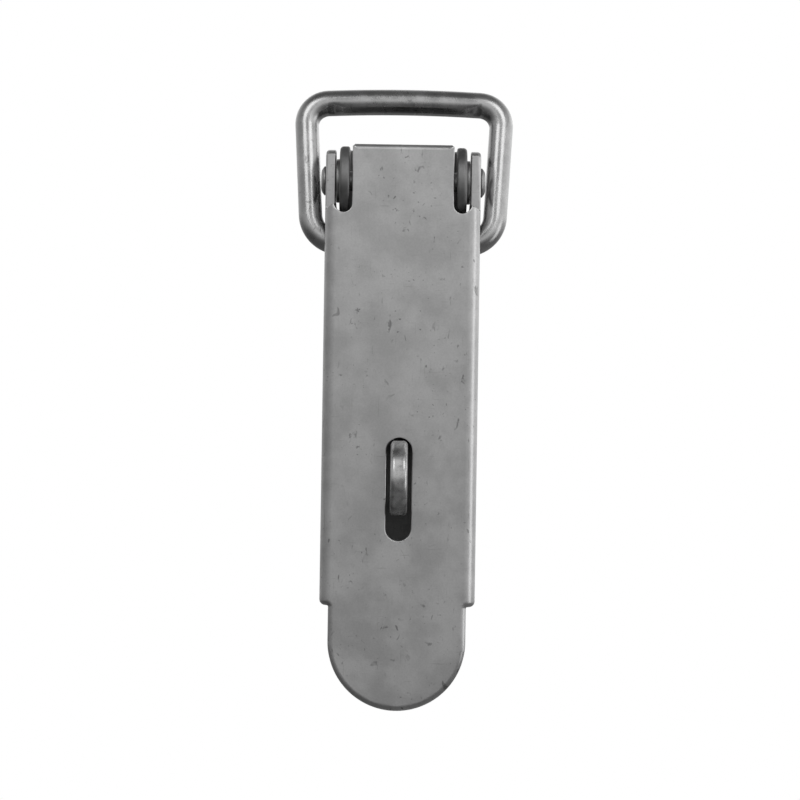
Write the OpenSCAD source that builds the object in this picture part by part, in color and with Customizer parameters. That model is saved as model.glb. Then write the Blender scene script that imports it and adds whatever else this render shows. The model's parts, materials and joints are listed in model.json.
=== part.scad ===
// Over-centre toggle latch with a wire bail and a padlock staple.
// Origin: middle of the four mounting holes, on the back face of the base plate.
// +Z is up the face that the latch is screwed to, -Y points away from it.
// Every piece is drawn lying on its back, with X across it, Y along it and
// Z out of it, and stand() then turns it upright.

/* [Sheet stock] */
// Thickness of the handle's sheet
handle_t = 2.5; // [2:0.1:3]
// Thickness of the base plate's sheet
base_t = 2.5; // [2:0.1:3]

/* [Pivot] */
// Height of the pivot axis above the middle of the mounting holes
pivot_up = 62; // [60:1:70]
// Distance of the pivot axis from the back face
pivot_out = 13.5; // [13:0.25:16]
// Radius of the pivot rivet's shank
rivet_r = 2.5; // [2:0.1:3]
// Radius of the rivet's domed heads
head_r = 3.7; // [3.4:0.1:4.5]
// Height of the rivet's domed heads
head_h = 1.1; // [0.8:0.1:1.5]
// Outside radius of each spacing washer
washer_r = 5.5; // [4:0.25:7]
// Thickness of each spacing washer
washer_t = 0.8; // [0.5:0.1:1.5]

/* [Base plate] */
// Width of the base plate, over its two ears
base_w = 32; // [26:0.5:40]
// Length of the base plate below the pivot axis
base_drop = 100; // [98:1:125]
// Radius of each ear's round end, about the pivot axis
ear_r = 8.75; // [7:0.25:9]
// Radius inside the fold between plate and ear
base_fold_r = 1; // [0.5:0.1:1.5]
// Radius of the plate's two lower corners
base_corner_r = 4; // [1:0.5:6]
// Width of the slit that frees the lower side of each ear
relief_w = 1.6; // [1:0.1:2.5]
// Radius of the mounting holes
hole_r = 2.75; // [2:0.05:3]
// Distance between the mounting holes across the plate
hole_gap_x = 16; // [12:0.5:18]
// Distance between the mounting holes along the plate
hole_gap_z = 60; // [58:1:70]

/* [Handle] */
// Distance from the pivot axis to the tip of the handle's tongue
handle_drop = 133; // [126:1:160]
// Distance from the pivot axis to the lower end of the side walls
wall_drop = 106.8; // [100:0.1:110]
// Distance of the handle's face from the pivot axis
face_out = 7.5; // [7:0.1:9]
// Gap between the back edges of the side walls and the mounting surface
wall_gap = 1.5; // [0.5:0.1:2.5]
// Radius inside the folds between face and side walls
handle_fold_r = 0.5; // [0.3:0.1:1]
// Width of the flat tongue
tongue_w = 34.5; // [20:0.5:34.5]
// Height of the middle tab's end above the pivot axis
tab_up = 8.9; // [8:0.1:9.5]
// Gap between each side of the tab and the base plate's ear
tab_gap = 0.75; // [0.4:0.05:1.5]
// Cut corner of the tab
tab_chamfer = 0.6; // [0.2:0.1:1.5]
// Radius of the handle's ears about the pivot axis
grip_ear_r = 7.8; // [6.5:0.1:9]
// Gap between the base plate's ear and the round bottom of each notch
notch_gap = 0.85; // [0.6:0.05:2]
// Height of each notch's bottom above the place where the folds stop
step_up = 0.85; // [0:0.05:1.5]
// Slope of the wall's edge below the handle's ear, in degrees
ear_ramp = 23; // [15:1:35]
// Radius of the lower back corner of each side wall
end_r = 16; // [8:0.5:17]
// Radius of the lower front corner of each side wall
lip_r = 1.5; // [1:0.1:2.5]

/* [Padlock staple] */
// Distance from the pivot axis to the middle of the staple
staple_drop = 74.6; // [70:0.1:76]
// Height of the staple over the legs, from outside to outside
staple_span = 18.7; // [16:0.1:20]
// Distance of the staple's crest from the back face
staple_out = 32.75; // [31:0.25:38]
// Width of the staple's strip
staple_w = 4.25; // [3:0.05:5]
// Thickness of the staple's strip
staple_t = 3.6; // [3:0.1:4]
// Rounding of the strip's four edges
staple_edge_r = 1.1; // [0.4:0.1:1.4]
// Radius of the staple's two tenons
tenon_r = 1.7; // [1.2:0.1:1.75]
// Depth of each peened tenon head
peen_h = 1; // [0.6:0.1:1.4]
// Spread of each peened tenon head beyond the tenon
peen_spread = 0.8; // [0.4:0.1:1.2]
// Gap on each side of the strip in the handle's slot
slot_side = 1.075; // [0.6:0.025:2]
// Gap between the staple and the slot's upper end
slot_lead = 0.65; // [0.6:0.05:2]
// Gap between the staple and the slot's lower end
slot_tail = 6.4; // [2:0.1:8]

/* [Bail] */
// Diameter of the bail's wire
bail_wire = 6; // [5:0.1:7.2]
// Distance from the bail's hinge axis to the middle of its top bar
bail_reach = 37.6; // [30:0.1:45]
// Distance of the bail's hinge axis below the pivot axis
bar_drop = 15.6; // [15:0.1:20]
// Distance of the bail's hinge axis behind the pivot axis
bar_back = 2.5; // [1:0.1:3.5]
// Bend radius of the two lower corners, at the wire's middle
bail_low_r = 7.75; // [6.4:0.05:9.5]
// Bend radius of the two upper corners, at the wire's middle
bail_top_r = 5.8; // [4.5:0.1:8]
// Outward lean of each leg, in degrees
bail_lean = 3.3; // [1:0.1:6]
// Crown of the top bar over its width
bail_crown = 0.5; // [0.2:0.1:1.5]

/* [Fits] */
// Sideways play of the handle on each side
side_play = 0.2; // [0.1:0.05:0.4]
// Radial clearance of the handle and washers on the rivet
pivot_fit = 0.1; // [0.05:0.05:0.2]
// Gap between the handle and each rivet head
head_gap = 0.1; // [0.05:0.05:0.3]
// Gap between a bail leg and a rivet head as the leg swings past
leg_gap = 0.2; // [0.1:0.05:0.5]
// Clearance of the bent wire in the handle's holes
bail_fit = 0.2; // [0.1:0.05:0.5]

/* [Hidden] */
$fn = 96;
// How far a cut runs past the face that it leaves
past = 1;
// Bands that join the stretches of wire: how proud they stand, and how long they are
joint_proud = 0.05;
joint_len = 0.4;
// How far inside the handle's round ear the ramp below it starts
ramp_bite = 0.15;

// Widths across the latch, from the base plate outwards
ear_in = base_w / 2 - base_t;
wall_in = base_w / 2 + washer_t + side_play;
handle_w = 2 * (wall_in + handle_t);
head_in = handle_w / 2 + head_gap;
head_out = head_in + head_h;
tab_w = 2 * (ear_in - tab_gap);

// Side view of the handle, measured from the pivot axis
wall_back = pivot_out - wall_gap;
raw_out = face_out - handle_t - handle_fold_r;
end_y = -wall_drop;
notch_r = (wall_in - tab_w / 2) / 2;
notch_y = -sqrt(pow(ear_r + notch_gap, 2) - pow(face_out - handle_t, 2));
step_y = notch_y + step_up;

// The bail in its own plane, measured from its hinge axis
wire_r = bail_wire / 2;
rivet_reach = norm([bar_drop, bar_back]);
low_y = bail_low_r * (1 - sin(bail_lean));
bar_half = leg_x(low_y) - bail_low_r * cos(bail_lean);
corner_y = bail_reach - bail_crown - bail_top_r;
leg_top_y = corner_y - bail_top_r * sin(bail_lean);
corner_x = leg_x(leg_top_y) - bail_top_r * cos(bail_lean);
corner_h = bail_crown + bail_top_r;
crown_r = (pow(corner_x, 2) + pow(corner_h, 2) - pow(bail_top_r, 2)) / (2 * bail_crown);
crown_a = asin(corner_x / (crown_r - bail_top_r));
bail_tilt = asin((pivot_out - bar_back - wire_r) / bail_reach);
bail_hole_r = bail_low_r + bail_fit
    - sqrt(pow(bail_low_r - wire_r, 2) - pow(handle_w / 2 - bar_half, 2));

// The padlock staple
staple_arch_r = staple_span / 2 - staple_t / 2;
staple_arch_z = staple_out - staple_span / 2;

// Middle of the wire of one leg at height y above the hinge axis
function leg_x(y) = head_out + leg_gap + wire_r / cos(bail_lean)
    + (y - rivet_reach) * tan(bail_lean);

// Turns a piece drawn on its back to stand against its mounting surface
module stand() {
    rotate([90, 0, 0]) children();
}

// Moves a piece drawn about the pivot axis to its place over the back face
module at_pivot() {
    translate([0, pivot_up, pivot_out]) children();
}

// Draws a child and its mirror image on the other side of the latch
module both_sides() {
    children();
    mirror([1, 0, 0]) children();
}

// Pushes a side view, with its x along Y and its y along Z, through a width
module across(w) {
    translate([-w / 2, 0, 0]) rotate([90, 0, 90]) linear_extrude(w) children();
}

// Pushes a cross-section, with its x along X and its y along Z, from y0 to y1
module along(y0, y1) {
    translate([0, y1, 0]) rotate([90, 0, 0]) linear_extrude(y1 - y0) children();
}

// Flat-bottomed outline with its two lower corners rounded
module cup_outline(w, h, r) {
    translate([-w / 2, r]) square([w, h - r]);
    translate([-w / 2 + r, 0]) square([w - 2 * r, 2 * r]);
    translate([w / 2 - r, r]) circle(r);
    translate([r - w / 2, r]) circle(r);
}

// Folded strip: a floor with a wall on each side, open at the top
module folded_section(w, h, t, fold_r) {
    difference() {
        cup_outline(w, h, fold_r + t);
        translate([0, t]) cup_outline(w - 2 * t, h, fold_r);
    }
}

// Rectangle with four rounded corners, centred
module rounded_rect(w, h, r) {
    square([w - 2 * r, h], center = true);
    square([w, h - 2 * r], center = true);
    for (x = [-1, 1], y = [-1, 1])
        translate([x * (w / 2 - r), y * (h / 2 - r)]) circle(r);
}

// Places a child at each mounting hole
module at_mounting_holes() {
    for (x = [-1, 1], y = [-1, 1])
        translate([x * hole_gap_x / 2, y * hole_gap_z / 2, 0]) children();
}

// Places a child at each leg of the padlock staple, on the back face
module at_staple_legs() {
    for (side = [-1, 1])
        translate([0, pivot_up - staple_drop + side * staple_arch_r, 0]) children();
}

// One tenon of the staple, peened into the back face
module tenon(extra = 0) {
    translate([0, 0, -extra]) cylinder(r = tenon_r, h = base_t + 2 * extra);
    cylinder(r1 = tenon_r + peen_spread, r2 = tenon_r, h = peen_h);
    if (extra > 0)
        translate([0, 0, -extra]) cylinder(r = tenon_r + peen_spread, h = extra);
}

// Outline of the flat plate, without the folds of its ears
module plate_outline() {
    low = pivot_up - base_drop;
    full_top = pivot_up - ear_r - relief_w;
    fold_x = ear_in - base_fold_r;
    translate([-base_w / 2, low + base_corner_r])
        square([base_w, full_top - low - base_corner_r]);
    translate([-base_w / 2 + base_corner_r, low])
        square([base_w - 2 * base_corner_r, 2 * base_corner_r]);
    for (side = [-1, 1])
        translate([side * (base_w / 2 - base_corner_r), low + base_corner_r])
            circle(base_corner_r);
    translate([-fold_x, full_top - past]) square([2 * fold_x, 2 * ear_r + relief_w + past]);
}

// Side view of one ear about the pivot axis
module ear_side() {
    circle(ear_r);
    translate([-ear_r, -pivot_out]) square([2 * ear_r, pivot_out]);
}

module base_plate() {
    fold_x = ear_in - base_fold_r;
    relief_y = pivot_up - ear_r - relief_w / 2;
    color("silver") stand() difference() {
        union() {
            linear_extrude(base_t) plate_outline();
            intersection() {
                along(pivot_up - ear_r, pivot_up + ear_r)
                    folded_section(base_w, pivot_out + ear_r + past, base_t, base_fold_r);
                at_pivot() across(base_w + past) ear_side();
            }
        }
        at_mounting_holes()
            translate([0, 0, -past]) cylinder(r = hole_r, h = base_t + 2 * past);
        at_staple_legs() tenon(past);
        both_sides() translate([fold_x, relief_y, -past])
            cylinder(d = relief_w, h = base_t + 2 * past);
        at_pivot() rotate([0, 90, 0])
            cylinder(r = rivet_r, h = base_w + 2 * past, center = true);
    }
}

module padlock_staple() {
    color("gainsboro") stand() {
        at_staple_legs() {
            translate([0, 0, base_t]) linear_extrude(staple_arch_z - base_t)
                rounded_rect(staple_w, staple_t, staple_edge_r);
            tenon();
        }
        translate([0, pivot_up - staple_drop, staple_arch_z]) rotate([90, 0, 90])
            rotate_extrude(angle = 180) translate([staple_arch_r, 0])
                rounded_rect(staple_t, staple_w, staple_edge_r);
    }
}

module pivot_rivet() {
    dome_r = (pow(head_r, 2) + pow(head_h, 2)) / (2 * head_h);
    color("lightgray") stand() at_pivot() rotate([0, 90, 0]) {
        cylinder(r = rivet_r, h = 2 * head_in, center = true);
        for (side = [0, 1])
            mirror([0, 0, side]) intersection() {
                translate([0, 0, head_out - dome_r]) sphere(dome_r);
                translate([0, 0, head_in]) cylinder(r = dome_r, h = head_h + past);
            }
    }
}

// Washer on the side that its argument names, seated on the ear
module washer(side) {
    color("darkgray") stand() at_pivot()
        translate([side * (base_w / 2 + washer_t / 2), 0, 0]) rotate([0, 90, 0])
            difference() {
                cylinder(r = washer_r, h = washer_t, center = true);
                cylinder(r = rivet_r + pivot_fit, h = washer_t + past, center = true);
            }
}

module left_washer() {
    washer(-1);
}

module right_washer() {
    washer(1);
}

// Side view of the handle's walls about the pivot axis
module wall_side() {
    ramp_r = grip_ear_r - ramp_bite;
    ramp_y = -ramp_r * sin(ear_ramp);
    ramp_z = -ramp_r * cos(ear_ramp);
    ramp_end_y = ramp_y - (wall_back + ramp_z) / tan(ear_ramp);
    difference() {
        union() {
            circle(grip_ear_r);
            polygon([
                [step_y, face_out],
                [step_y, raw_out],
                [0, raw_out],
                [0, 0],
                [ramp_y, ramp_z],
                [ramp_end_y, -wall_back],
                [end_y + end_r, -wall_back],
                [end_y + end_r, face_out]
            ]);
            translate([end_y + end_r, end_r - wall_back]) circle(end_r);
            translate([end_y, end_r - wall_back])
                square([end_r + past, face_out - lip_r + wall_back - end_r]);
            translate([end_y + lip_r, face_out - lip_r]) circle(lip_r);
            translate([end_y + lip_r, 0]) square([end_r, face_out]);
        }
        translate([step_y, raw_out]) square([2 * grip_ear_r + past, face_out]);
        translate([end_y - past, face_out]) square([wall_drop, 2 * end_r]);
    }
}

// Plan of the tab and the tongue, the flat ends of the handle's face
module tab_and_tongue() {
    tab_x = tab_w / 2;
    tongue_r = tongue_w / 2;
    polygon([
        [-tab_x, notch_y - past],
        [tab_x, notch_y - past],
        [tab_x, tab_up - tab_chamfer],
        [tab_x - tab_chamfer, tab_up],
        [tab_chamfer - tab_x, tab_up],
        [-tab_x, tab_up - tab_chamfer]
    ]);
    translate([0, tongue_r - handle_drop]) circle(tongue_r);
    translate([-tongue_r, tongue_r - handle_drop])
        square([tongue_w, handle_drop - wall_drop + 2 * lip_r - tongue_r]);
}

// Plan of the slot that passes the padlock staple
module slot_outline() {
    slot_r = staple_w / 2 + slot_side;
    top = slot_lead + staple_span / 2 - staple_drop;
    bottom = -slot_tail - staple_span / 2 - staple_drop;
    translate([0, top - slot_r]) circle(slot_r);
    translate([0, bottom + slot_r]) circle(slot_r);
    translate([-slot_r, bottom + slot_r]) square([2 * slot_r, top - bottom - 2 * slot_r]);
}

module handle() {
    color("darkgray") stand() at_pivot() difference() {
        union() {
            intersection() {
                along(end_y, grip_ear_r + past) translate([0, face_out]) mirror([0, 1])
                    folded_section(handle_w, face_out + wall_back + past, handle_t,
                        handle_fold_r);
                across(handle_w + past) wall_side();
            }
            translate([0, 0, face_out - handle_t]) linear_extrude(handle_t) tab_and_tongue();
        }
        translate([0, 0, raw_out - past]) linear_extrude(face_out) {
            both_sides() translate([tab_w / 2 + notch_r, notch_y + notch_r]) circle(notch_r);
            both_sides() translate([tab_w / 2, notch_y + notch_r])
                square([2 * notch_r, tab_up + grip_ear_r - notch_y]);
            slot_outline();
        }
        rotate([0, 90, 0])
            cylinder(r = rivet_r + pivot_fit, h = handle_w + 2 * past, center = true);
        translate([0, -bar_drop, -bar_back]) rotate([0, 90, 0])
            cylinder(r = bail_hole_r, h = handle_w + 2 * past, center = true);
    }
}

// Bent stretch of the bail's wire about the origin, from angle a0 to angle a1
module bent_wire(r, a0, a1) {
    rotate([0, 0, a0]) rotate_extrude(angle = a1 - a0) translate([r, 0]) circle(wire_r);
}

// Thin band round the place where two stretches of wire meet, which joins them
module wire_joint(x, y, heading) {
    translate([x, y, 0]) rotate([0, 90, heading])
        cylinder(r = wire_r + joint_proud, h = joint_len, center = true);
}

// Lower corner, leg and upper corner, with the leg upright and its lower end at the origin
module upright_side() {
    leg_len = (leg_top_y - low_y) / cos(bail_lean);
    translate([-bail_low_r, 0, 0]) bent_wire(bail_low_r, bail_lean - 90, 0);
    rotate([-90, 0, 0]) cylinder(r = wire_r, h = leg_len);
    translate([-bail_top_r, leg_len, 0]) bent_wire(bail_top_r, 0, 90 + bail_lean - crown_a);
    wire_joint(0, 0, 90);
    wire_joint(0, leg_len, 90);
}

// Everything on the right-hand side of the bail
module bail_side() {
    translate([leg_x(low_y), low_y, 0]) rotate([0, 0, -bail_lean]) upright_side();
    wire_joint(bar_half, 0, 0);
    wire_joint(corner_x + bail_top_r * sin(crown_a), corner_y + bail_top_r * cos(crown_a),
        -crown_a);
}

module bail() {
    color("lightgray") stand() at_pivot()
        translate([0, -bar_drop, -bar_back]) rotate([-bail_tilt, 0, 0]) {
            rotate([0, 90, 0]) cylinder(r = wire_r, h = 2 * bar_half, center = true);
            both_sides() bail_side();
            translate([0, bail_reach - crown_r, 0])
                bent_wire(crown_r, 90 - crown_a, 90 + crown_a);
        }
}

base_plate();
padlock_staple();
pivot_rivet();
left_washer();
right_washer();
handle();
bail();
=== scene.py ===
"""Looks of an over-centre toggle latch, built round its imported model.

Each pressing is made as it is in the shop: its flat blank is outlined, the
edges of the blank are rolled over as the punch leaves them, and the blank is
then folded. The wire, the strip and the turned pieces are swept or spun. Every
length in a class is in millimetres; Y points away from the user and Z is up.
"""
import json
import logging
import math
from dataclasses import dataclass, field
from enum import Enum
from typing import Any, Callable, Sequence

import bmesh
import bpy
from mathutils import Matrix, Vector


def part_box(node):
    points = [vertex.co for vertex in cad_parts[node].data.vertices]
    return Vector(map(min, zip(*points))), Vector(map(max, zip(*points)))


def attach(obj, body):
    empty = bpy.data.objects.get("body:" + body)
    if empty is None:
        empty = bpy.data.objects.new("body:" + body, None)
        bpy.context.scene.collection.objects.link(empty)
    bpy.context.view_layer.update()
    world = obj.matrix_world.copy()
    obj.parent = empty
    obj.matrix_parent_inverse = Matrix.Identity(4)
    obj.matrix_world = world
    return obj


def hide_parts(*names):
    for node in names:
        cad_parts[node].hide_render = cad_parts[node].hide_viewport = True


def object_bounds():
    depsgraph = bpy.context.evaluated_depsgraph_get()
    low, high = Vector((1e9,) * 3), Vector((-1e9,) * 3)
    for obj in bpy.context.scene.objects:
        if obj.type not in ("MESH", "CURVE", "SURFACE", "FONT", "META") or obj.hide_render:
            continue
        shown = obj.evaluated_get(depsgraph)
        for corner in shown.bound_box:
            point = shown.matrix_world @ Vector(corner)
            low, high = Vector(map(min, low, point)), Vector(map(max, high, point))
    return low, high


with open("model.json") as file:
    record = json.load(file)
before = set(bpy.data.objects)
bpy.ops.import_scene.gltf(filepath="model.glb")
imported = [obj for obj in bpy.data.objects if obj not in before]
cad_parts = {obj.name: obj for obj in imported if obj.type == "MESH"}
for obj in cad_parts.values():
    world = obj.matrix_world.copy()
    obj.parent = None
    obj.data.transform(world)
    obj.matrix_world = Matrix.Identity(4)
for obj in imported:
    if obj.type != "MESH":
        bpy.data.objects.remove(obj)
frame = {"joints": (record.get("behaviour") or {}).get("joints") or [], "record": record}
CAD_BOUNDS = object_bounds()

MM = 0.001
# Two points of an outline nearer than this, in millimetres, are one point
SAME_POINT = 0.001
# The same for the vertices of a finished mesh, in metres
SAME_VERTEX = 1e-7
LOG = logging.getLogger("latch")
Point = tuple[float, float]
Outline = list[Point]


class Body(Enum):
    """Rigid bodies of the latch that a piece can ride on."""

    BASE = "base"
    HANDLE = "handle"
    BAIL = "bail"


class Side(Enum):
    """Left or right as the user sees the latch, with its sign along X."""

    LEFT = -1
    RIGHT = 1


def joint_place(name: str) -> Vector:
    """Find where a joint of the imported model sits.

    Args:
        name: Name of the joint.

    Returns:
        Its position in millimetres.
    """
    joint = next(j for j in frame["joints"] if j["name"] == name)
    return Vector(joint["pos_m"]) / MM


def node_box(node: str) -> tuple[Vector, Vector]:
    """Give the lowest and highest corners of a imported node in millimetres."""
    low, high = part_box(node)
    return Vector(low) / MM, Vector(high) / MM


# ---------------------------------------------------------------- outlines


def arc(centre: Point, radius: float, start: float, end: float, step: float = 0.45) -> Outline:
    """Make the points of a round stretch of an outline.

    Args:
        centre: Centre of the arc.
        radius: Its radius.
        start: Angle of its first point in degrees.
        end: Angle of its last point in degrees.
        step: Longest distance between two points.

    Returns:
        The points from start to end.
    """
    sweep = math.radians(end - start)
    count = max(3, math.ceil(abs(sweep) * radius / step))
    angles = [math.radians(start) + sweep * i / count for i in range(count + 1)]
    return [(centre[0] + radius * math.cos(a), centre[1] + radius * math.sin(a)) for a in angles]


def hole(centre: Point, radius: float) -> Outline:
    """Make the outline of a round hole."""
    return arc(centre, radius, 0, 360)[:-1]


def mirrored(right_half: Outline) -> Outline:
    """Close a right-hand half outline with its mirror image in the Y axis."""
    left_half = [(-x, y) for x, y in reversed(right_half) if abs(x) > SAME_POINT]
    return right_half + left_half


def both_sides(outline: Outline) -> list[Outline]:
    """Give an outline and its mirror image in the Y axis."""
    return [outline, [(-x, y) for x, y in reversed(outline)]]


# ---------------------------------------------------------------- meshes


def finish_mesh(name: str, bm: bmesh.types.BMesh) -> bpy.types.Object:
    """Turn a bmesh in millimetres into a smooth-shaded object in metres.

    Args:
        name: Name of the object.
        bm: The mesh, which is freed.

    Returns:
        The object, linked to the scene.
    """
    bmesh.ops.scale(bm, vec=(MM, MM, MM), verts=bm.verts)
    bmesh.ops.remove_doubles(bm, verts=bm.verts, dist=SAME_VERTEX)
    bmesh.ops.recalc_face_normals(bm, faces=bm.faces)
    mesh = bpy.data.meshes.new(name)
    bm.to_mesh(mesh)
    bm.free()
    mesh.shade_smooth()
    piece = bpy.data.objects.new(name, mesh)
    bpy.context.scene.collection.objects.link(piece)
    weighted = piece.modifiers.new("even_shading", "WEIGHTED_NORMAL")
    weighted.keep_sharp = True
    weighted.weight = 80
    return piece


def into_metal(outline: Outline, is_hole: bool, sharpest: float = 0.4) -> list[Vector]:
    """Find which way is into the metal at each point of an outline.

    Args:
        outline: The outline.
        is_hole: Whether the metal lies outside it.
        sharpest: Limit on how far the step grows at a sharp corner; lower is further.

    Returns:
        For each point the step that moves both edges at it in by one unit.
    """
    points = [Vector(p) for p in outline]
    ahead = points[1:] + points[:1]
    turn = 1 if (sum(p.cross(q) for p, q in zip(points, ahead)) > 0) != is_hole else -1
    normals = [Vector((p.y - q.y, q.x - p.x)).normalized() * turn for p, q in zip(points, ahead)]
    before = normals[-1:] + normals[:-1]
    return [(a + b) / max(1 + a.dot(b), sharpest) for a, b in zip(before, normals)]


def rolled_blank(outlines: Sequence[Outline], thickness: float, burr: float,
                 roll_at: Callable[[Vector], float], steps: int = 5) -> bmesh.types.BMesh:
    """Punch a flat blank whose edges are rolled over.

    Args:
        outlines: The outer outline, then one for each hole.
        thickness: Thickness of the sheet, from z = 0 upwards.
        burr: Radius of every edge but the outer outline's at z = 0.
        roll_at: Gives that edge's radius at a point, as the punch drew it over.
        steps: Number of facets in each rolled edge.

    Returns:
        The blank, lying on the XY plane.
    """
    bm = bmesh.new()
    rims: tuple[list[bmesh.types.BMEdge], ...] = ([], [])
    turns = [math.pi / 2 * i / steps for i in range(steps + 1)]
    for outline in outlines:
        is_hole = outline is not outlines[0]
        apart = [p for p, q in zip(outline, outline[1:] + outline[:1])
                 if math.dist(p, q) > SAME_POINT]
        rows: list[list[bmesh.types.BMVert]] = [[] for _ in turns * 2]
        for point, inward in zip(apart, into_metal(apart, is_hole)):
            at = Vector(point)
            roll = burr if is_hole else roll_at(at)
            places = [(roll * (1 - math.sin(t)), roll * (1 - math.cos(t))) for t in turns]
            places += [(burr * (1 - math.cos(t)), thickness - burr * (1 - math.sin(t)))
                       for t in turns]
            for row, (depth, z) in zip(rows, places):
                row.append(bm.verts.new((*(at + inward * depth), z)))
        count = len(apart)
        for low, high in zip(rows, rows[1:]):
            for i in range(count):
                j = (i + 1) % count
                bm.faces.new((low[i], low[j], high[j], high[i]))
        for rim, row in zip(rims, (rows[0], rows[-1])):
            rim += [bm.edges.get((a, b)) for a, b in zip(row, row[1:] + row[:1])]
    for rim in rims:
        bmesh.ops.triangle_fill(bm, edges=rim, use_beauty=True, use_dissolve=False)
    return bm


@dataclass(frozen=True)
class Fold:
    """A right-angle fold on each side of a blank, along lines parallel to Y."""

    start: float
    inner_r: float
    thickness: float
    steps: int = 8

    @property
    def length(self) -> float:
        """Length of blank that the fold takes up, along its middle layer."""
        return (self.inner_r + self.thickness / 2) * math.pi / 2

    def across(self, rise: float) -> float:
        """Distance across the blank of a point that stands rise above the fold's end."""
        return self.start + self.length + rise

    def bend(self, bm: bmesh.types.BMesh) -> None:
        """Fold both sides of a blank upwards, with its top face on the inside.

        Args:
            bm: The blank, changed in place.
        """
        for side in Side:
            for i in range(self.steps + 1):
                x = side.value * (self.start + self.length * i / self.steps)
                parts = bm.verts[:] + bm.edges[:] + bm.faces[:]
                bmesh.ops.bisect_plane(bm, geom=parts, plane_co=(x, 0, 0), plane_no=(1, 0, 0))
        for vert in bm.verts:
            past = abs(vert.co.x) - self.start
            if past <= 0:
                continue
            radius = self.inner_r + self.thickness - vert.co.z
            turn = min(past / self.length, 1) * math.pi / 2
            rise = max(past - self.length, 0)
            pivot_z = self.thickness + self.inner_r
            side = math.copysign(1, vert.co.x)
            vert.co.x = side * (self.start + radius * math.sin(turn))
            vert.co.z = pivot_z - radius * math.cos(turn) + rise


def swept(rings: Sequence[Sequence[Vector]], closed: bool) -> bmesh.types.BMesh:
    """Skin a row of rings that all have the same number of points.

    Args:
        rings: The rings, in order along the sweep.
        closed: Whether the last ring joins the first; otherwise both ends are capped.

    Returns:
        The skin.
    """
    bm = bmesh.new()
    rows = [[bm.verts.new(p) for p in ring] for ring in rings]
    pairs = list(zip(rows, rows[1:])) + ([(rows[-1], rows[0])] if closed else [])
    count = len(rows[0])
    for low, high in pairs:
        for i in range(count):
            j = (i + 1) % count
            bm.faces.new((low[i], low[j], high[j], high[i]))
    if not closed:
        bm.faces.new(reversed(rows[0]))
        bm.faces.new(rows[-1])
    return bm


def turned(profile: Outline, axis_at: Vector, segments: int = 64) -> bmesh.types.BMesh:
    """Spin a profile about an axis that runs along X.

    Args:
        profile: Points of (distance along X, radius), from one end to the other.
        axis_at: A point on the axis.
        segments: Number of steps round the axis.

    Returns:
        The turned solid, with any end of zero radius closed.
    """
    bm = bmesh.new()
    rows: list[list[bmesh.types.BMVert]] = []
    for along, radius in profile:
        ring = []
        for i in range(segments if radius > SAME_POINT else 1):
            angle = 2 * math.pi * i / segments
            offset = Vector((along, radius * math.cos(angle), radius * math.sin(angle)))
            ring.append(bm.verts.new(axis_at + offset))
        rows.append(ring)
    for low, high in zip(rows, rows[1:]):
        for i in range(segments):
            j = (i + 1) % segments
            corners = [row[k % len(row)] for row, k in ((low, i), (low, j), (high, j), (high, i))]
            bm.faces.new(list(dict.fromkeys(corners)))
    return bm


def stand_up(bm: bmesh.types.BMesh, at: Vector) -> None:
    """Turn a piece made on its back upright and move it to its place.

    Args:
        bm: The piece, with Y along it and Z out of it, changed in place.
        at: Where its own origin goes.
    """
    bmesh.ops.rotate(bm, verts=bm.verts, matrix=Matrix.Rotation(math.pi / 2, 3, "X"))
    bmesh.ops.translate(bm, verts=bm.verts, vec=at)


# ---------------------------------------------------------------- finishes


def linear(hex_colour: str) -> tuple[float, float, float, float]:
    """Turn an sRGB hex colour into a linear one.

    Args:
        hex_colour: Six hex digits after a hash sign.

    Returns:
        Red, green, blue and an alpha of 1.
    """
    parts = [int(hex_colour[i:i + 2], 16) / 255 for i in (1, 3, 5)]
    values = [c / 12.92 if c <= 0.04045 else ((c + 0.055) / 1.055) ** 2.4 for c in parts]
    return (values[0], values[1], values[2], 1.0)


def add_node(tree: bpy.types.NodeTree, kind: str, inputs: dict[str | int, Any] | None = None,
             **settings: Any) -> bpy.types.Node:
    """Add a shader node with its settings, values and links.

    Args:
        tree: The node tree.
        kind: Type of the node, after the words that every type starts with.
        inputs: Value or output socket for each named or numbered input.
        settings: Attributes to set on the node.

    Returns:
        The node.
    """
    made = tree.nodes.new("ShaderNode" + kind)
    for key, value in settings.items():
        setattr(made, key, value)
    for key, value in (inputs or {}).items():
        if isinstance(value, bpy.types.NodeSocket):
            tree.links.new(value, made.inputs[key])
        else:
            made.inputs[key].default_value = value
    return made


@dataclass(frozen=True)
class Pattern:
    """Cloudy pattern of a real size, drawn out along the axes where it is longer."""

    size_mm: float
    detail: float
    stretch: tuple[float, float, float] = (1.0, 1.0, 1.0)
    crook: float = 0.0

    def draw(self, tree: bpy.types.NodeTree) -> bpy.types.NodeSocket:
        """Draw the pattern in a material.

        Args:
            tree: The material's nodes.

        Returns:
            The socket with the pattern, from 0 to 1.
        """
        place = add_node(tree, "TexCoord").outputs["Object"]
        scale = tuple(1 / (self.size_mm * MM * along) for along in self.stretch)
        where = add_node(tree, "Mapping", {"Vector": place, "Scale": scale}).outputs[0]
        return add_node(tree, "TexNoise", {
            "Vector": where, "Scale": 1.0, "Detail": self.detail, "Roughness": 0.6,
            "Distortion": self.crook}).outputs[0]


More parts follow.
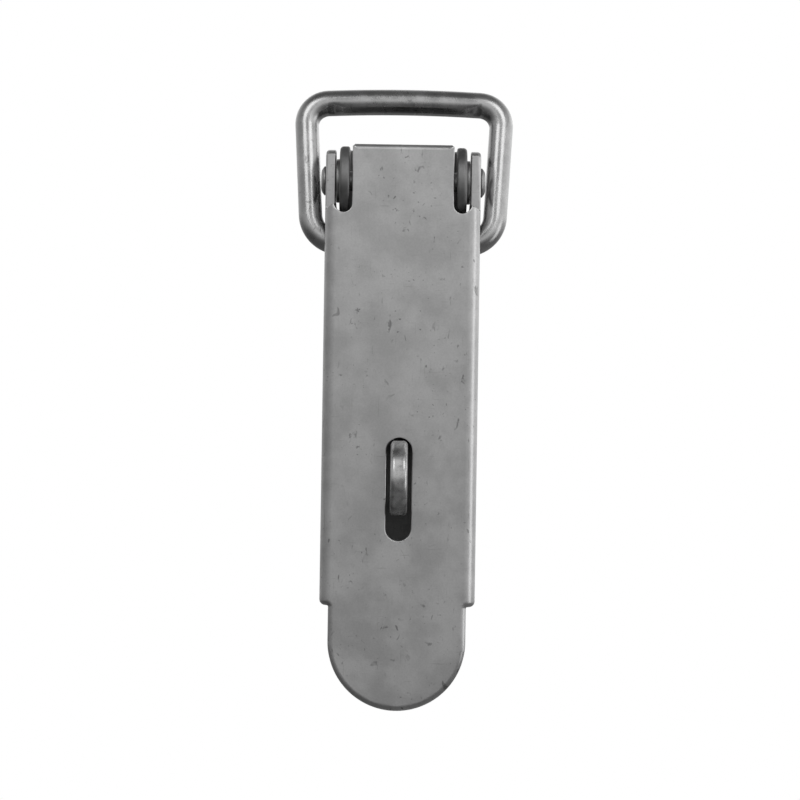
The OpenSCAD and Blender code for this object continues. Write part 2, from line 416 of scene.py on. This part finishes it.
@dataclass(frozen=True)
class SteelFinish:
    """Bare or zinc-coated steel: cloudy tone, fine grain, pits and scratches."""

    name: str
    light: str
    dark: str
    roughness: tuple[float, float]
    cloud_mm: float = 9.0
    grain_mm: float = 0.5
    pit_mm: float = 1.6
    pit_share: float = 0.3
    bump_mm: float = 0.02
    bump_strength: float = 0.35
    grain_shade: str = "#ececec"
    pit_colour: str = "#2c2b2a"
    scratch_colour: str = "#55544f"

    def build(self) -> bpy.types.Material:
        """Make the material.

        Returns:
            The material.
        """
        material = bpy.data.materials.new(self.name)
        material.use_nodes = True
        tree = material.node_tree
        tree.nodes.clear()
        patterns = {
            # Soft clouds in the coating, and the fine grain of the rolled or drawn surface
            "clouds": Pattern(self.cloud_mm, 5.0),
            "grain": Pattern(self.grain_mm, 3.0),
            # Round pits, crooked marks up to two millimetres long, and the patches they lie in
            "pits": Pattern(self.pit_mm, 2.0),
            "crooked": Pattern(1.9, 2.0, (1.0, 1.0, 1.6), 0.7),
            "patches": Pattern(17.0, 1.0),
            # Hairline scratches in two directions; like the grain they are drawn several times
            # wider than real ones, which would be too fine to show
            "upright": Pattern(0.35, 1.0, (1.0, 1.0, 26.0)),
            "level": Pattern(0.3, 1.0, (22.0, 1.0, 1.0)),
        }
        drawn = {name: pattern.draw(tree) for name, pattern in patterns.items()}
        # Which part of a pattern counts, and what its two ends become
        spreads = {
            "cloud_share": (drawn["clouds"], 0.32, 0.68, 0.0, 1.0),
            "grain_share": (drawn["grain"], 0.3, 0.7, 0.5, 0.0),
            "pit_share": (drawn["pits"], 0.67, 0.74, 0.0, self.pit_share),
            "crooked_share": (drawn["crooked"], 0.64, 0.72, 0.0, self.pit_share),
            "patch_share": (drawn["patches"], 0.4, 0.56, 0.15, 1.0),
            "upright_share": (drawn["upright"], 0.68, 0.78, 0.0, 0.25),
            "level_share": (drawn["level"], 0.68, 0.78, 0.0, 0.25),
            "roughness": (drawn["clouds"], 0.3, 0.7, *self.roughness),
        }
        spread = {name: add_node(tree, "MapRange", dict(enumerate(values)),
                                 interpolation_type="SMOOTHSTEP").outputs[0]
                  for name, values in spreads.items()}
        joined: dict[str, bpy.types.NodeSocket] = {}
        for name, how, a, b in (
                ("pits", "MAXIMUM", spread["pit_share"], spread["crooked_share"]),
                ("scratches", "MAXIMUM", spread["upright_share"], spread["level_share"]),
                ("relief", "ADD", drawn["grain"], drawn["clouds"])):
            joined[name] = add_node(tree, "Math", {0: a, 1: b}, operation=how).outputs[0]
        worn = add_node(tree, "Math", {0: joined["pits"], 1: spread["patch_share"]},
                        operation="MULTIPLY").outputs[0]
        tone: Any = linear(self.dark)
        for how, share, colour in (
                ("MIX", spread["cloud_share"], self.light),
                ("MULTIPLY", spread["grain_share"], self.grain_shade),
                ("MIX", worn, self.pit_colour),
                ("MIX", joined["scratches"], self.scratch_colour)):
            tone = add_node(tree, "Mix", {0: share, 6: tone, 7: linear(colour)},
                            data_type="RGBA", blend_type=how).outputs[2]
        bump = add_node(tree, "Bump", {"Strength": self.bump_strength,
                                       "Distance": self.bump_mm * MM, "Height": joined["relief"]})
        shader = add_node(tree, "BsdfPrincipled", {
            "Base Color": tone, "Metallic": 1.0, "Roughness": spread["roughness"],
            "Normal": bump.outputs[0]})
        add_node(tree, "OutputMaterial", {"Surface": shader.outputs[0]})
        return material


# Zinc-coated rolled sheet: dull, even mid grey with faint clouds, small pits and rub marks
HANDLE_SHEET = SteelFinish("zinc_coated_pressed_sheet", "#c8c8c8", "#b6b6b6", (0.33, 0.41),
                           pit_mm=1.1, pit_share=0.5)
# The same sheet with painted shade: its colour is darkened for the shade the handle casts on it,
# and it is duller
PLATE_SHEET_PAINTED_SHADE = SteelFinish("zinc_coated_plate_painted_shade", "#8a8a8a", "#747474", (0.48, 0.58))
# Cold-drawn wire: smoother than sheet, so that the room shows in it as light and dark bands
BAIL_WIRE = SteelFinish("cold_drawn_bright_wire", "#b6b6b6", "#a2a2a2", (0.22, 0.32),
                        cloud_mm=6.0, grain_mm=0.4, pit_mm=1.2, pit_share=0.4, bump_mm=0.004)
# Flattened strip, bent over a former: satin, with darker rubbed patches
STAPLE_STRIP = SteelFinish("rolled_bent_strip", "#cacaca", "#9a9a9a", (0.2, 0.32), cloud_mm=3.0)
# Hammered rivet heads: satin, with small dents
RIVET_STEEL = SteelFinish("peened_mild_steel", "#a6a6a6", "#8a8a8a", (0.3, 0.42), cloud_mm=2.5,
                          grain_mm=0.6, bump_mm=0.04)
# Punched washers: plain dull sheet
WASHER_STEEL = SteelFinish("punched_washer_steel", "#9a9a9a", "#868686", (0.34, 0.44),
                           cloud_mm=3.0)


def dress(piece: bpy.types.Object, finish: SteelFinish, body: Body, node: str) -> None:
    """Give a piece its finish and tie it to the frame.

    Args:
        piece: The piece.
        finish: Its finish.
        body: The body that it rides on.
        node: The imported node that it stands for.
    """
    known = bpy.data.materials.get(finish.name)
    piece.data.materials.append(known or finish.build())
    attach(piece, body.value)
    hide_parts(node)


# ---------------------------------------------------------------- pieces


@dataclass
class Handle:
    """Channel-shaped handle with two ears, a middle tab, a slot and a tongue."""

    thickness: float = 2.5
    fold_r: float = 0.5
    face_out: float = 7.5
    wall_depth: float = 12.0
    wall_drop: float = 106.8
    tongue_w: float = 34.5
    tab_w: float = 25.5
    tab_chamfer: float = 0.6
    notch_w: float = 4.25
    ear_r: float = 7.8
    ear_ramp: float = 23.0
    end_r: float = 16.0
    notch_y: float = -8.195
    step_up: float = 0.85
    pivot_hole_r: float = 2.6
    bail_hole_r: float = 5.13
    slot_w: float = 6.4
    slot_top: float = -64.6
    slot_bottom: float = -90.35
    root_r: float = 0.3
    shoulder_r: float = 0.5
    edge_roll: float = 1.4
    ear_roll: float = 0.9
    burr: float = 0.3
    roll_run: float = 2.0
    ear_roll_rise: float = 1.5
    pivot: Vector = field(default_factory=lambda: joint_place("handle_pivot"))
    bar: Vector = field(default_factory=lambda: joint_place("bail_swing"))

    @property
    def fold(self) -> Fold:
        """Place the fold between the face and each side wall.

        Returns:
            The fold.
        """
        low, high = node_box("handle")
        outer_r = self.fold_r + self.thickness
        return Fold((high.x - low.x) / 2 - outer_r, self.fold_r, self.thickness)

    def down(self, height: float) -> float:
        """Distance across the blank of a wall point at a height over the pivot axis."""
        fold_end = self.face_out - self.thickness - self.fold_r
        return self.fold.across(fold_end - height)

    def outline(self) -> Outline:
        """Draw the blank, measured from the pivot axis.

        Returns:
            The outer outline.
        """
        low, high = node_box("handle")
        tip = low.z - self.pivot.z
        top = high.z - self.pivot.z
        tongue_r = self.tongue_w / 2
        back = self.down(-self.wall_depth)
        ear_x = self.down(0)
        raw_x = self.down(self.face_out - self.thickness - self.fold_r)
        tab_x = self.tab_w / 2
        notch_r = self.notch_w / 2
        end_y = -self.wall_drop
        step_y = self.notch_y + self.step_up
        raw_angle = math.degrees(math.acos((raw_x - ear_x) / self.ear_r))
        half: Outline = []
        half += arc((0, tip + tongue_r), tongue_r, -90, 0)
        half += arc((tongue_r + self.root_r, end_y - self.root_r), self.root_r, 180, 90, step=0.1)
        half += arc((back - self.end_r, end_y + self.end_r), self.end_r, -90, 0, step=0.9)
        # The wide roll below the ramp runs out over this straight stretch
        half += [(back, self.ramp_foot - self.roll_run), (back, self.ramp_foot)]
        half += arc((ear_x, 0), self.ear_r, -self.ear_ramp, raw_angle)
        half += arc((raw_x - self.shoulder_r, step_y + self.shoulder_r), self.shoulder_r, 0, -90,
                    step=0.2)
        half += arc((tab_x + notch_r, self.notch_y + notch_r), notch_r, 0, -180, step=0.3)
        half += [(tab_x, top - self.tab_chamfer), (tab_x - self.tab_chamfer, top)]
        return mirrored(half)

    def slot_outline(self) -> Outline:
        """Draw the slot that passes the padlock staple.

        Returns:
            The outline of the slot.
        """
        radius = self.slot_w / 2
        upper = arc((0, self.slot_top - radius), radius, 0, 180)
        lower = arc((0, self.slot_bottom + radius), radius, 180, 360)
        return upper + lower

    def roll_at(self, at: Vector) -> float:
        """Give the outer edge's radius: wide below the ears and on the tab's top.

        Args:
            at: A point of the outline.

        Returns:
            The radius there.
        """
        if at.y < self.ramp_foot or at.y > self.ear_r + self.ear_roll:
            return self.edge_roll
        on_ear = abs(at.x) > self.fold.across(0) and at.y > self.notch_y + self.ear_roll_rise
        return self.ear_roll if on_ear else self.burr

    @property
    def ramp_foot(self) -> float:
        """Find the corner where the ear's ramp meets the wall's back edge.

        Returns:
            Its height over the pivot axis.
        """
        slope = math.radians(self.ear_ramp)
        run = self.wall_depth - self.ear_r * math.cos(slope)
        return -self.ear_r * math.sin(slope) - run / math.tan(slope)

    def build(self) -> bpy.types.Object:
        """Punch, fold and place the handle.

        Returns:
            The handle.
        """
        bar = self.bar - self.pivot
        holes = [self.slot_outline()]
        holes += both_sides(hole((self.down(0), 0), self.pivot_hole_r))
        holes += both_sides(hole((self.down(-bar.y), bar.z), self.bail_hole_r))
        bm = rolled_blank([self.outline()] + holes, self.thickness, self.burr, self.roll_at)
        self.fold.bend(bm)
        # The blank folds upwards, so it is turned over to bring its face to the front
        bmesh.ops.scale(bm, vec=(1, 1, -1), verts=bm.verts)
        bmesh.ops.translate(bm, verts=bm.verts, vec=(0, 0, self.face_out))
        stand_up(bm, Vector((0, self.pivot.y, self.pivot.z)))
        piece = finish_mesh("handle_pressing", bm)
        dress(piece, HANDLE_SHEET, Body.HANDLE, "handle")
        return piece


@dataclass
class BasePlate:
    """Folded plate with two ears, four mounting holes and two tenon holes."""

    thickness: float = 2.5
    fold_r: float = 1.0
    ear_r: float = 8.75
    corner_r: float = 4.0
    relief_w: float = 1.6
    mounting_r: float = 2.75
    pivot_hole_r: float = 2.5
    tenon_r: float = 1.7
    countersink_r: float = 2.45
    staple_drop: float = 74.6
    leg_gap: float = 15.1
    edge_roll: float = 0.9
    burr: float = 0.55
    pivot: Vector = field(default_factory=lambda: joint_place("handle_pivot"))

    @property
    def fold(self) -> Fold:
        """Place the fold between the plate and each ear.

        Returns:
            The fold.
        """
        low, high = node_box("base_plate")
        fold_w = self.thickness + self.fold_r
        return Fold((high.x - low.x) / 2 - fold_w, self.fold_r, self.thickness)

    @property
    def ear_x(self) -> float:
        """Distance across the blank of the pivot axis."""
        return self.fold.across(-self.pivot.y - self.thickness - self.fold_r)

    def outline(self) -> Outline:
        """Draw the blank.

        Returns:
            The outer outline.
        """
        low, high = node_box("base_plate")
        slit_r = self.relief_w / 2
        slit_y = self.pivot.z - self.ear_r - slit_r
        half: Outline = [(0, low.z)]
        half += arc((high.x - self.corner_r, low.z + self.corner_r), self.corner_r, -90, 0)
        half += [(high.x, slit_y - slit_r)]
        half += arc((self.fold.start, slit_y), slit_r, 270, 90, step=0.2)
        half += arc((self.ear_x, self.pivot.z), self.ear_r, -90, 90)
        half += [(0, high.z)]
        return mirrored(half)

    def tenons(self) -> list[Point]:
        """Give the middles of the two holes for the staple's tenons."""
        middle = self.pivot.z - self.staple_drop
        return [(0, middle - self.leg_gap / 2), (0, middle + self.leg_gap / 2)]

    def holes(self) -> list[Outline]:
        """Draw the mounting holes, the tenon holes and the pivot holes.

        Returns:
            The outline of each hole.
        """
        mount = next(m for m in frame["record"]["mounts"] if m["kind"] == "bolt_pattern")
        x = mount["dims"]["spacing_x_mm"] / 2
        z = mount["dims"]["spacing_y_mm"] / 2
        mounting = [hole(at, self.mounting_r) for at in ((-x, -z), (-x, z), (x, -z), (x, z))]
        tenons = [hole(at, self.tenon_r) for at in self.tenons()]
        return mounting + tenons + both_sides(hole((self.ear_x, self.pivot.z), self.pivot_hole_r))

    def build(self) -> bpy.types.Object:
        """Punch, fold and place the base plate.

        Returns:
            The base plate.
        """
        _, high = node_box("base_plate")
        bm = rolled_blank([self.outline()] + self.holes(), self.thickness, self.burr,
                          lambda at: self.edge_roll if abs(at.x) > high.x else self.burr)
        for at in self.tenons():
            self.countersink(bm, at)
        self.fold.bend(bm)
        stand_up(bm, Vector())
        piece = finish_mesh("base_plate_pressing", bm)
        # The plate's finish carries painted shade for the handle's shadow over it
        dress(piece, PLATE_SHEET_PAINTED_SHADE, Body.BASE, "base_plate")
        return piece

    def countersink(self, bm: bmesh.types.BMesh, at: Point) -> None:
        """Widen a tenon hole towards the back for the hammered head.

        Args:
            bm: The flat blank, changed in place.
            at: Middle of the hole.
        """
        for vert in bm.verts:
            away = Vector((vert.co.x - at[0], vert.co.y - at[1]))
            if away.length < self.tenon_r + 2 * self.burr and vert.co.z < self.thickness / 2:
                away *= self.countersink_r / self.tenon_r
                vert.co.xy = Vector(at) + away


@dataclass
class PadlockStaple:
    """Flat strip bent to an eye, with two tenons peened into the plate's back."""

    width: float = 4.25
    thickness: float = 3.6
    edge_r: float = 1.1
    span: float = 18.7
    plate_t: float = BasePlate.thickness
    seat_gap: float = 0.01
    # Place along Y and size of the tenon, from the plate's back face forwards
    tenon_taper: tuple[Point, ...] = ((-0.05, 0.86), (-0.35, 0.97))
    # Radius and depth below the plate's back face, from the middle of the peened head
    peen: tuple[Point, ...] = ((0.0, 0.12), (1.2, 0.12), (1.9, 0.2), (2.35, 0.5), (1.6, 2.2))
    peen_sides: int = 40
    arch_steps: int = 40

    def section(self) -> Outline:
        """Draw the strip's rounded section.

        Returns:
            The outline, with the strip's width along the first axis.
        """
        x = self.width / 2 - self.edge_r
        y = self.thickness / 2 - self.edge_r
        points: Outline = []
        for start, cx, cy in ((0, x, y), (90, -x, y), (180, -x, -y), (270, x, -y)):
            points += arc((cx, cy), self.edge_r, start, start + 90, step=0.3)
        return points

    def ring(self, at: Vector, outward: Vector, scale: float = 1.0) -> list[Vector]:
        """Place the strip's section.

        Args:
            at: Middle of the section.
            outward: Direction of its thickness.
            scale: Size of the section.

        Returns:
            The ring of points.
        """
        return [at + Vector((1, 0, 0)) * x * scale + outward * y * scale
                for x, y in self.section()]

    def build(self) -> bpy.types.Object:
        """Bend and place the staple.

        Returns:
            The staple.
        """
        low, high = node_box("padlock_staple")
        middle = (low.z + high.z) / 2
        radius = self.span / 2 - self.thickness / 2
        arch_y = low.y + self.span / 2
        up = Vector((0, 0, 1))
        taper = [*self.tenon_taper, (-self.plate_t - self.seat_gap, 1.0)]
        rings = [self.ring(Vector((0, y, middle + radius)), up, size) for y, size in taper]
        for i in range(self.arch_steps + 1):
            angle = math.pi * i / self.arch_steps
            out = Vector((0, -math.sin(angle), math.cos(angle)))
            rings.append(self.ring(Vector((0, arch_y, middle)) + out * radius, out))
        rings += [self.ring(Vector((0, y, middle - radius)), -up, size)
                  for y, size in reversed(taper)]
        bm = swept(rings, closed=False)
        for z in (middle - radius, middle + radius):
            self.add_peen(bm, Vector((0, 0, z)))
        piece = finish_mesh("staple_strip", bm)
        dress(piece, STAPLE_STRIP, Body.BASE, "padlock_staple")
        return piece

    def add_peen(self, bm: bmesh.types.BMesh, at: Vector) -> None:
        """Add the hammered head of one tenon, just below the plate's back face.

        Args:
            bm: The staple, changed in place.
            at: Middle of the tenon on the back face.
        """
        rows = []
        for radius, depth in self.peen:
            count = self.peen_sides if radius else 1
            turns = [2 * math.pi * i / count for i in range(count)]
            rows.append([bm.verts.new(at + Vector((radius * math.cos(a), -depth,
                                                   radius * math.sin(a)))) for a in turns])
        for inner, outer in zip(rows, rows[1:]):
            for i in range(len(outer)):
                j = (i + 1) % len(outer)
                corners = [inner[i % len(inner)], inner[j % len(inner)], outer[j], outer[i]]
                bm.faces.new(list(dict.fromkeys(corners)))
        bm.faces.new(rows[-1])


@dataclass
class PivotPin:
    """Through rivet with a flattened dome on each end."""

    # Depth below the top of the head and radius, from the shank to the middle of the dome
    head: tuple[Point, ...] = ((1.1, 2.5), (1.1, 3.55), (0.98, 3.7), (0.8, 3.67), (0.35, 3.05),
                               (0.1, 2.55), (0.02, 2.0), (0.0, 1.1), (0.0, 0.0))
    pivot: Vector = field(default_factory=lambda: joint_place("handle_pivot"))

    def build(self) -> bpy.types.Object:
        """Turn and place the rivet.

        Returns:
            The rivet.
        """
        _, high = node_box("pivot_rivet")
        right_half = [(high.x - depth, radius) for depth, radius in self.head]
        profile = [(-x, radius) for x, radius in reversed(right_half)] + right_half
        bm = turned(profile, Vector((0, self.pivot.y, self.pivot.z)))
        piece = finish_mesh("pivot_rivet_pin", bm)
        dress(piece, RIVET_STEEL, Body.BASE, "pivot_rivet")
        return piece


@dataclass
class Washer:
    """Thin spacer between one ear of the base plate and one of the handle."""

    side: Side
    bore_r: float = 2.6
    edge_roll: float = 0.15
    pivot: Vector = field(default_factory=lambda: joint_place("handle_pivot"))

    def build(self) -> bpy.types.Object:
        """Punch and place the washer.

        Returns:
            The washer.
        """
        node = f"{self.side.name.lower()}_washer"
        low, high = node_box(node)
        outer_r = (high.z - low.z) / 2
        bm = rolled_blank([hole((0, 0), outer_r), hole((0, 0), self.bore_r)], high.x - low.x,
                          self.edge_roll, lambda at: self.edge_roll)
        bmesh.ops.rotate(bm, verts=bm.verts, matrix=Matrix.Rotation(math.pi / 2, 3, "Y"))
        bmesh.ops.translate(bm, verts=bm.verts, vec=(low.x, self.pivot.y, self.pivot.z))
        piece = finish_mesh(f"{node}_disc", bm)
        dress(piece, WASHER_STEEL, Body.BASE, node)
        return piece


@dataclass
class Bail:
    """Closed loop of round wire that hinges in the handle's walls."""

    wire_r: float = 3.0
    top_swell: float = 0.28
    swell_lead: float = 1.0
    reach: float = 37.6
    low_r: float = 7.75
    top_r: float = 5.8
    lean: float = 3.3
    crown: float = 0.5
    weld_swell: float = 0.3
    weld_half: float = 1.3
    sides: int = 40
    bar_steps: int = 24
    leg_steps: int = 20
    bend_steps: int = 18
    # Where the bending tool bit: headings from the middle of each bend, depth, width and slope
    left_bite_deg: float = 128.0
    right_bite_deg: float = 48.0
    bite: float = 0.4
    bite_reach: float = 1.5
    bite_slope: float = 1.2
    bar: Vector = field(default_factory=lambda: joint_place("bail_swing"))

    def path(self) -> list[tuple[Vector, Vector]]:
        """Trace the middle of the wire round the loop, in the bail's own plane.

        Returns:
            Pairs of a point and the outward direction there, from the middle of the bar.
        """
        _, high = node_box("bail")
        lean = math.radians(self.lean)
        corner_x = high.x - self.wire_r - self.top_r
        corner_y = self.reach - self.crown - self.top_r
        # The leg touches both bends, which gives the place of the lower one
        leg_top = Vector((corner_x + self.top_r * math.cos(lean),
                          corner_y - self.top_r * math.sin(lean)))
        low_y = self.low_r * (1 - math.sin(lean))
        leg_low = Vector((leg_top.x - (leg_top.y - low_y) * math.tan(lean), low_y))
        bar_half = leg_low.x - self.low_r * math.cos(lean)
        rise = self.crown + self.top_r
        crown_r = (corner_x ** 2 + rise ** 2 - self.top_r ** 2) / (2 * self.crown)
        crown_a = math.degrees(math.asin(corner_x / (crown_r - self.top_r)))
        leg_out = Vector((math.cos(lean), -math.sin(lean)))
        half = [(Vector((bar_half * i / self.bar_steps, 0)), Vector((0, -1)))
                for i in range(self.bar_steps)]
        half += self.turn((bar_half, self.low_r), self.low_r, -90, -self.lean)
        half += [(leg_low.lerp(leg_top, i / self.leg_steps), leg_out)
                 for i in range(1, self.leg_steps)]
        half += self.turn((corner_x, corner_y), self.top_r, -self.lean, 90 - crown_a)
        half += self.turn((0, self.reach - crown_r), crown_r, 90 - crown_a, 90)[1:]
        left = [(Vector((-p.x, p.y)), Vector((-n.x, n.y))) for p, n in reversed(half[1:-1])]
        return half + left

    def turn(self, centre: Point, radius: float, start: float,
             end: float) -> list[tuple[Vector, Vector]]:
        """Trace a bend.

        Args:
            centre: Centre of the bend.
            radius: Its radius.
            start: Angle of its first point in degrees.
            end: Angle of its last point in degrees.

        Returns:
            Pairs of a point and the outward direction there.
        """
        made = []
        for i in range(self.bend_steps + 1):
            angle = math.radians(start + (end - start) * i / self.bend_steps)
            out = Vector((math.cos(angle), math.sin(angle)))
            made.append((Vector(centre) + out * radius, out))
        return made

    def radius_at(self, at: Vector) -> float:
        """Give the wire's radius, which swells at the weld and in the pressed top bar.

        Args:
            at: A point on the middle of the wire.

        Returns:
            The radius there.
        """
        weld = math.exp(-(at.x / self.weld_half) ** 2) if at.y < self.low_r else 0.0
        top = min(max((at.y - self.reach + self.top_r + self.swell_lead) / self.top_r, 0), 1)
        return self.wire_r + self.weld_swell * weld + self.top_swell * top

    def press_flat(self, bm: bmesh.types.BMesh, centre: Point, heading: float) -> None:
        """Flatten the front of the wire where the bending tool bit into a corner.

        Args:
            bm: The wire, in its own plane, changed in place.
            centre: Centre of the corner's bend.
            heading: Direction from there to the corner, in degrees.
        """
        out = Vector((math.cos(math.radians(heading)), math.sin(math.radians(heading)), 0))
        middle = Vector((centre[0], centre[1], 0)) + out * self.top_r
        face = (Vector((0, 0, 1)) - out * self.bite_slope).normalized()
        touch = middle + face * self.wire_r
        for vert in bm.verts:
            gap = (vert.co - touch).dot(face) + self.bite
            # All of the bite within its reach, and none of it at twice that
            near = min(max(2 - (vert.co - touch).length / self.bite_reach, 0), 1)
            if gap > 0:
                vert.co -= face * gap * near

    def build(self) -> bpy.types.Object:
        """Bend, weld and place the bail.

        Returns:
            The bail.
        """
        path = self.path()
        angles = [2 * math.pi * i / self.sides for i in range(self.sides)]
        rings = []
        for at, out in path:
            radius = self.radius_at(at)
            rings.append([(at + out * radius * math.cos(a)).to_3d()
                          + Vector((0, 0, radius * math.sin(a))) for a in angles])
        bm = swept(rings, closed=True)
        bite_x = max(at.x for at, _ in path) - self.low_r
        bite_y = self.reach - self.crown - self.top_r
        self.press_flat(bm, (-bite_x, bite_y), self.left_bite_deg)
        self.press_flat(bm, (bite_x, bite_y), self.right_bite_deg)
        tilt = math.asin((-self.bar.y - self.wire_r) / self.reach)
        bmesh.ops.rotate(bm, verts=bm.verts, matrix=Matrix.Rotation(-tilt, 3, "X"))
        stand_up(bm, self.bar)
        piece = finish_mesh("bail_wire", bm)
        dress(piece, BAIL_WIRE, Body.BAIL, "bail")
        return piece


# ---------------------------------------------------------------- studio


@dataclass(frozen=True)
class SoftBox:
    """Soft box: its place, its width and height in millimetres, and its power in watts."""

    name: str
    at: tuple[float, float, float]
    size: Point
    watts: float


@dataclass
class Studio:
    """White room with a floor far below, soft boxes and the camera."""

    floor_drop: float = 300.0
    floor_half: float = 220.0
    shadow_r: float = 130.0
    paper: str = "#f4f4f4"
    # How bright the walls are to metal on the left, on the right and at the back
    left_level: float = 0.62
    right_level: float = 1.38
    back_level: float = 1.45
    back_reach: float = 0.8
    # Height in the room, from the ground below at 0 to the ceiling at 1, and brightness there
    room_levels: tuple[Point, ...] = ((0.001, 0.18), (0.2, 0.14), (0.33, 0.16), (0.42, 0.28),
                                      (0.5, 0.5), (0.59, 0.92), (0.72, 0.68), (0.85, 0.4),
                                      (0.95, 0.16), (0.999, 0.16))
    boxes: tuple[SoftBox, ...] = (
        SoftBox("left_front_box", (-225, -380, 400), (270, 300), 0.5),
        SoftBox("right_front_box", (225, -380, 400), (270, 300), 0.5),
        SoftBox("right_side_box", (460, -180, -30), (200, 300), 0.22),
    )
    camera_gap: float = 700.0
    view_w: float = 200.0
    view_middle: float = 6.9
    face_y: float = -21.0
    roll_deg: float = 0.87
    sensor: float = 36.0

    def add_world(self) -> None:
        """Make the room: white to the eye, and for metal pale round the horizon only."""
        world = bpy.data.worlds.new("studio")
        bpy.context.scene.world = world
        world.use_nodes = True
        tree = world.node_tree
        tree.nodes.clear()
        where = add_node(tree, "TexCoord").outputs["Generated"]
        along = add_node(tree, "SeparateXYZ", {0: where}).outputs
        height = add_node(tree, "MapRange", {0: along[2], 1: -1.0, 2: 1.0})
        graded = add_node(tree, "ValToRGB", {0: height.outputs[0]})
        stops = graded.color_ramp.elements
        for place, level in self.room_levels:
            stop = stops.new(place)
            stop.color = (level, level, level, 1)
        stops.remove(stops[0])
        stops.remove(stops[-1])
        sideways = add_node(tree, "MapRange", {0: along[0], 1: -1.0, 2: 1.0, 3: self.left_level,
                                               4: self.right_level})
        behind = add_node(tree, "MapRange", {0: along[1], 1: 0.0, 2: self.back_reach, 3: 1.0,
                                             4: self.back_level})
        strength = add_node(tree, "Math", {0: sideways.outputs[0], 1: behind.outputs[0]},
                            operation="MULTIPLY")
        room = add_node(tree, "Background", {"Color": graded.outputs[0],
                                             "Strength": strength.outputs[0]})
        white = add_node(tree, "Background", {"Color": (1, 1, 1, 1), "Strength": 1.0})
        ray = add_node(tree, "LightPath").outputs
        is_plain = add_node(tree, "Math", {0: ray["Is Camera Ray"], 1: ray["Is Diffuse Ray"]},
                            operation="MAXIMUM")
        both = add_node(tree, "MixShader", {0: is_plain.outputs[0], 1: room.outputs[0],
                                            2: white.outputs[0]})
        add_node(tree, "OutputWorld", {"Surface": both.outputs[0]})

    def paper_finish(self) -> bpy.types.Material:
        """Make the floor's matt paper, which fades to plain white outside the shadow.

        Returns:
            The material.
        """
        material = bpy.data.materials.new("matt_white_paper")
        material.use_nodes = True
        tree = material.node_tree
        tree.nodes.clear()
        where = add_node(tree, "TexCoord").outputs["Object"]
        flat = add_node(tree, "Mapping", {"Vector": where, "Scale": (1, 1, 0)})
        away = add_node(tree, "VectorMath", {0: flat.outputs[0]}, operation="LENGTH")
        fade = add_node(tree, "MapRange", {0: away.outputs["Value"], 1: 0.0,
                                           2: self.shadow_r * MM, 3: 0.0, 4: 1.0},
                        interpolation_type="SMOOTHSTEP")
        is_seen = add_node(tree, "LightPath").outputs["Is Camera Ray"]
        share = add_node(tree, "Math", {0: fade.outputs[0], 1: is_seen}, operation="MULTIPLY")
        paper = add_node(tree, "BsdfDiffuse", {"Color": linear(self.paper)})
        white = add_node(tree, "Emission", {"Color": (1, 1, 1, 1), "Strength": 1.0})
        both = add_node(tree, "MixShader", {0: share.outputs[0], 1: paper.outputs[0],
                                            2: white.outputs[0]})
        add_node(tree, "OutputMaterial", {"Surface": both.outputs[0]})
        return material

    def add_floor(self) -> None:
        """Lay the pale floor far below the latch."""
        low, _ = CAD_BOUNDS
        z = low[2] / MM - self.floor_drop
        half = self.floor_half
        bm = bmesh.new()
        bm.faces.new([bm.verts.new((x, y, z)) for x, y in ((-half, -half), (half, -half),
                                                           (half, half), (-half, half))])
        floor = finish_mesh("floor", bm)
        floor.modifiers.clear()
        floor.data.materials.append(self.paper_finish())
        floor.visible_glossy = False

    def add_soft_box(self, box: SoftBox) -> None:
        """Hang a soft box so that it faces the middle of the latch.

        Args:
            box: The soft box.
        """
        lamp = bpy.data.lights.new(box.name, "AREA")
        lamp.shape = "RECTANGLE"
        lamp.size, lamp.size_y = (side * MM for side in box.size)
        lamp.energy = box.watts
        held = bpy.data.objects.new(box.name, lamp)
        held.location = Vector(box.at) * MM
        aim = Vector((0, self.face_y, self.view_middle)) * MM - held.location
        held.rotation_euler = aim.to_track_quat("-Z", "Y").to_euler()
        bpy.context.scene.collection.objects.link(held)

    def add_camera(self) -> None:
        """Set the camera square to the face of the latch."""
        data = bpy.data.cameras.new("camera")
        data.sensor_width = self.sensor
        data.lens = self.sensor * self.camera_gap / self.view_w
        camera = bpy.data.objects.new("camera", data)
        camera.location = Vector((0, self.face_y - self.camera_gap, self.view_middle)) * MM
        turn = Matrix.Rotation(math.radians(90), 4, "X")
        roll = Matrix.Rotation(math.radians(self.roll_deg), 4, "Z")
        camera.rotation_euler = (turn @ roll).to_euler()
        bpy.context.scene.collection.objects.link(camera)
        bpy.context.scene.camera = camera

    def build(self) -> None:
        """Set up the whole studio."""
        bpy.context.scene.view_settings.view_transform = "Standard"
        self.add_world()
        self.add_floor()
        for box in self.boxes:
            self.add_soft_box(box)
        self.add_camera()


def main() -> None:
    """Build the studio, then the latch in the order in which it is put together."""
    logging.basicConfig(level=logging.INFO)
    Studio().build()
    for part in (BasePlate(), PadlockStaple(), PivotPin(), Washer(Side.LEFT),
                 Washer(Side.RIGHT), Handle(), Bail()):
        piece = part.build()
        LOG.info("%s: %d faces", piece.name, len(piece.data.polygons))


if __name__ == "__main__":
    main()
